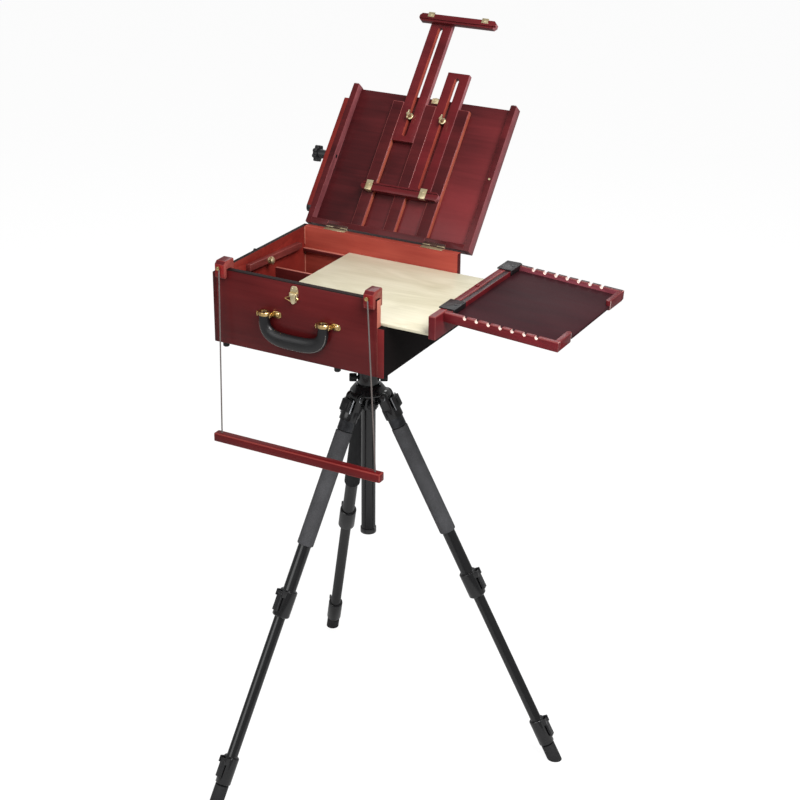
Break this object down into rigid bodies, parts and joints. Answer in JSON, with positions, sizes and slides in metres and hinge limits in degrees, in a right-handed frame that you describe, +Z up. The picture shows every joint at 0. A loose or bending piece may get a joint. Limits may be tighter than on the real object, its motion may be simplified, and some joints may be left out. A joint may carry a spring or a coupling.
{
  "type": "pochade box on a tripod",
  "caption": "Open wooden painter's box on a folding tripod, with an easel lid, sliding board, side tray and hanging bar.",
  "frame": {"origin": "on the ground, under the middle of the whole object's box, where the tripod's feet stand", "axes": "+Z up, +X to the right of the box along its width, +Y from the front panel to the hinged back panel"},
  "size_m": [0.817, 0.9332, 1.5502],
  "materials": {
    "red_wood": "satin",
    "pale_board": "satin",
    "brass": "satin",
    "black_leather": "satin",
    "black_plastic": "satin",
    "black_aluminium": "satin",
    "grey_foam": "matte",
    "black_rubber": "matte",
    "grey_cord": "matte"
  },
  "bodies": {
    "crown": {"crown": "black_aluminium"},
    "column": {"column": "black_aluminium"},
    "column_knob": {"column_knob": "black_plastic"},
    "head": {"head_body": "black_aluminium"},
    "pan_knob": {"pan_knob": "black_plastic"},
    "tilt_knob": {"tilt_knob": "black_plastic"},
    "box": {"front_panel": "red_wood", "back_panel": "red_wood", "left_wall": "red_wood", "right_wall": "red_wood", "floor_panel": "red_wood", "runners_and_dividers": "red_wood", "box_feet": "black_rubber", "box_brasswork": "brass", "ball_and_plate": "black_aluminium"},
    "handle": {"carry_handle": "black_leather"},
    "latch_lever": {"latch_lever": "brass"},
    "latch_loop": {"latch_loop": "brass"},
    "stay_bar": {"stay_bar": "red_wood"},
    "stay_knob": {"stay_knob": "black_plastic"},
    "lid": {"lid_panel": "red_wood", "lid_rails": "red_wood", "mast_guides": "red_wood", "lid_brasswork": "brass"},
    "upper_mast": {"upper_mast": "red_wood", "upper_clips": "brass"},
    "lower_mast": {"lower_mast": "red_wood", "lower_clips": "brass"},
    "upper_mast_knob": {"upper_mast_knob": "brass"},
    "lower_mast_knob": {"lower_mast_knob": "brass"},
    "side_arm": {"side_arm": "red_wood"},
    "side_arm_knob": {"side_arm_knob": "black_plastic"},
    "palette": {"palette_board": "pale_board", "end_plate": "red_wood"},
    "tray": {"tray_floor": "red_wood", "tray_rims": "red_wood", "tray_brackets": "black_plastic"},
    "bar_hooks": {"bar_hooks": "red_wood", "bar_screws": "brass"},
    "hanging_bar": {"hanging_bar": "red_wood", "left_cord": "grey_cord", "right_cord": "grey_cord"},
    "left_leg": {"left_upper_leg": "black_aluminium", "left_foam_grip": "grey_foam"},
    "left_upper_lever": {"left_upper_lever": "black_plastic"},
    "left_middle": {"left_middle_leg": "black_aluminium"},
    "left_lower_lever": {"left_lower_lever": "black_plastic"},
    "left_foot": {"left_foot_section": "black_rubber"},
    "right_leg": {"right_upper_leg": "black_aluminium", "right_foam_grip": "grey_foam"},
    "right_upper_lever": {"right_upper_lever": "black_plastic"},
    "right_middle": {"right_middle_leg": "black_aluminium"},
    "right_lower_lever": {"right_lower_lever": "black_plastic"},
    "right_foot": {"right_foot_section": "black_rubber"},
    "rear_leg": {"rear_upper_leg": "black_aluminium", "rear_foam_grip": "grey_foam"},
    "rear_upper_lever": {"rear_upper_lever": "black_plastic"},
    "rear_middle": {"rear_middle_leg": "black_aluminium"},
    "rear_lower_lever": {"rear_lower_lever": "black_plastic"},
    "rear_foot": {"rear_foot_section": "black_rubber"}
  },
  "joints": [
    {"name": "column_slide", "type": "slide", "parent": "crown", "child": "column", "axis": [0, 0, 1], "range_m": [0, 0.23]},
    {"name": "column_knob_spin", "type": "hinge", "parent": "crown", "child": "column_knob", "pos_m": [-0.07913, -0.05278, 0.824], "axis": [0.6639, -0.7478, 0], "continuous": true},
    {"name": "head_pan", "type": "hinge", "parent": "column", "child": "head", "pos_m": [-0.09904, -0.03035, 0.852], "axis": [0, 0, 1], "continuous": true},
    {"name": "tilt_knob_spin", "type": "hinge", "parent": "head", "child": "tilt_knob", "pos_m": [-0.07047, -0.01385, 0.877], "axis": [0.866, 0.5, 0], "continuous": true},
    {"name": "pan_knob_spin", "type": "hinge", "parent": "head", "child": "pan_knob", "pos_m": [-0.12762, -0.04685, 0.877], "axis": [-0.866, -0.5, 0], "continuous": true},
    {"name": "box_tilt", "type": "hinge", "parent": "head", "child": "box", "pos_m": [-0.09904, -0.03035, 0.937], "axis": [1, 0, 0], "range_deg": [-15, 15]},
    {"name": "lid_hinge", "type": "hinge", "parent": "box", "child": "lid", "pos_m": [-0.14505, 0.11865, 1.138], "axis": [1, 0, 0], "range_deg": [-8, 124]},
    {"name": "upper_mast_slide", "type": "slide", "parent": "lid", "child": "upper_mast", "axis": [0, 0.6334, 0.7738], "range_m": [-0.205, 0.044]},
    {"name": "lower_mast_slide", "type": "slide", "parent": "lid", "child": "lower_mast", "axis": [0, 0.6334, 0.7738], "range_m": [-0.078, 0.155]},
    {"name": "upper_mast_knob_spin", "type": "hinge", "parent": "lid", "child": "upper_mast_knob", "pos_m": [-0.18504, 0.29885, 1.35816], "axis": [0, -0.7738, 0.6334], "continuous": true},
    {"name": "lower_mast_knob_spin", "type": "hinge", "parent": "lid", "child": "lower_mast_knob", "pos_m": [-0.10504, 0.29885, 1.35816], "axis": [0, -0.7738, 0.6334], "continuous": true},
    {"name": "side_arm_swing", "type": "hinge", "parent": "lid", "child": "side_arm", "pos_m": [-0.35104, 0.23364, 1.26033], "axis": [-1, 0, 0], "range_deg": [-60, 60]},
    {"name": "side_arm_knob_spin", "type": "hinge", "parent": "lid", "child": "side_arm_knob", "pos_m": [-0.37005, 0.23364, 1.26033], "axis": [1, 0, 0], "continuous": true},
    {"name": "palette_slide", "type": "slide", "parent": "box", "child": "palette", "axis": [-1, 0, 0], "range_m": [-0.06, 0.1117]},
    {"name": "tray_lift", "type": "slide", "parent": "palette", "child": "tray", "axis": [0, 0, 1], "range_m": [0, 0.07]},
    {"name": "handle_swing", "type": "hinge", "parent": "box", "child": "handle", "pos_m": [-0.14505, -0.25185, 1.073], "axis": [1, 0, 0], "range_deg": [-100, 0]},
    {"name": "latch_lever_swing", "type": "hinge", "parent": "box", "child": "latch_lever", "pos_m": [-0.14805, -0.24535, 1.125], "axis": [-1, 0, 0], "range_deg": [0, 150]},
    {"name": "latch_loop_swing", "type": "hinge", "parent": "latch_lever", "child": "latch_loop", "pos_m": [-0.14805, -0.24635, 1.116], "axis": [1, 0, 0], "range_deg": [-140, 0]},
    {"name": "stay_bar_swing", "type": "hinge", "parent": "box", "child": "stay_bar", "pos_m": [-0.32904, -0.06035, 1.10976], "axis": [-1, 0, 0], "range_deg": [-70, 0]},
    {"name": "stay_knob_spin", "type": "hinge", "parent": "box", "child": "stay_knob", "pos_m": [-0.35705, -0.06035, 1.10976], "axis": [1, 0, 0], "continuous": true},
    {"name": "bar_hooks_lift", "type": "slide", "parent": "box", "child": "bar_hooks", "axis": [0, 0, -1], "range_m": [-0.03, 0]},
    {"name": "hanging_bar_swing", "type": "hinge", "parent": "bar_hooks", "child": "hanging_bar", "pos_m": [-0.14505, -0.25385, 1.1489], "axis": [1, 0, 0], "range_deg": [-60, 3]},
    {"name": "left_leg_fold", "type": "hinge", "parent": "crown", "child": "left_leg", "pos_m": [-0.11053, -0.06488, 0.8398], "axis": [0.9489, -0.3156, 0], "range_deg": [0, 22]},
    {"name": "left_middle_slide", "type": "slide", "parent": "left_leg", "child": "left_middle", "axis": [0.1374, 0.413, 0.9003], "range_m": [0, 0.3]},
    {"name": "left_foot_slide", "type": "slide", "parent": "left_middle", "child": "left_foot", "axis": [-0.1374, -0.413, -0.9003], "range_m": [0, 0.28]},
    {"name": "left_upper_lever_flip", "type": "hinge", "parent": "left_leg", "child": "left_upper_lever", "pos_m": [-0.1782, -0.2683, 0.44805], "axis": [0.9489, -0.3156, 0], "range_deg": [-90, 0]},
    {"name": "left_lower_lever_flip", "type": "hinge", "parent": "left_middle", "child": "left_lower_lever", "pos_m": [-0.2308, -0.42641, 0.09876], "axis": [0.9489, -0.3156, 0], "range_deg": [-90, 0]},
    {"name": "right_leg_fold", "type": "hinge", "parent": "crown", "child": "right_leg", "pos_m": [-0.06339, -0.02303, 0.8398], "axis": [-0.2011, 0.9796, 0], "range_deg": [0, 22]},
    {"name": "right_middle_slide", "type": "slide", "parent": "right_leg", "child": "right_middle", "axis": [-0.4263, -0.0875, 0.9003], "range_m": [0, 0.3]},
    {"name": "right_foot_slide", "type": "slide", "parent": "right_middle", "child": "right_foot", "axis": [0.4263, 0.0875, -0.9003], "range_m": [0, 0.28]},
    {"name": "right_upper_lever_flip", "type": "hinge", "parent": "right_leg", "child": "right_upper_lever", "pos_m": [0.1466, 0.02008, 0.44805], "axis": [-0.2011, 0.9796, 0], "range_deg": [-90, 0]},
    {"name": "right_lower_lever_flip", "type": "hinge", "parent": "right_middle", "child": "right_lower_lever", "pos_m": [0.30983, 0.05359, 0.09876], "axis": [-0.2011, 0.9796, 0], "range_deg": [-90, 0]},
    {"name": "rear_leg_fold", "type": "hinge", "parent": "crown", "child": "rear_leg", "pos_m": [-0.12321, -0.00313, 0.8398], "axis": [-0.7478, -0.6639, 0], "range_deg": [0, 22]},
    {"name": "rear_middle_slide", "type": "slide", "parent": "rear_leg", "child": "rear_middle", "axis": [0.289, -0.3255, 0.9003], "range_m": [0, 0.3]},
    {"name": "rear_foot_slide", "type": "slide", "parent": "rear_middle", "child": "rear_foot", "axis": [-0.289, 0.3255, -0.9003], "range_m": [0, 0.28]},
    {"name": "rear_upper_lever_flip", "type": "hinge", "parent": "rear_leg", "child": "rear_upper_lever", "pos_m": [-0.26554, 0.15718, 0.44805], "axis": [-0.7478, -0.6639, 0], "range_deg": [-90, 0]},
    {"name": "rear_lower_lever_flip", "type": "hinge", "parent": "rear_middle", "child": "rear_lower_lever", "pos_m": [-0.37617, 0.28179, 0.09876], "axis": [-0.7478, -0.6639, 0], "range_deg": [-90, 0]}
  ]
}
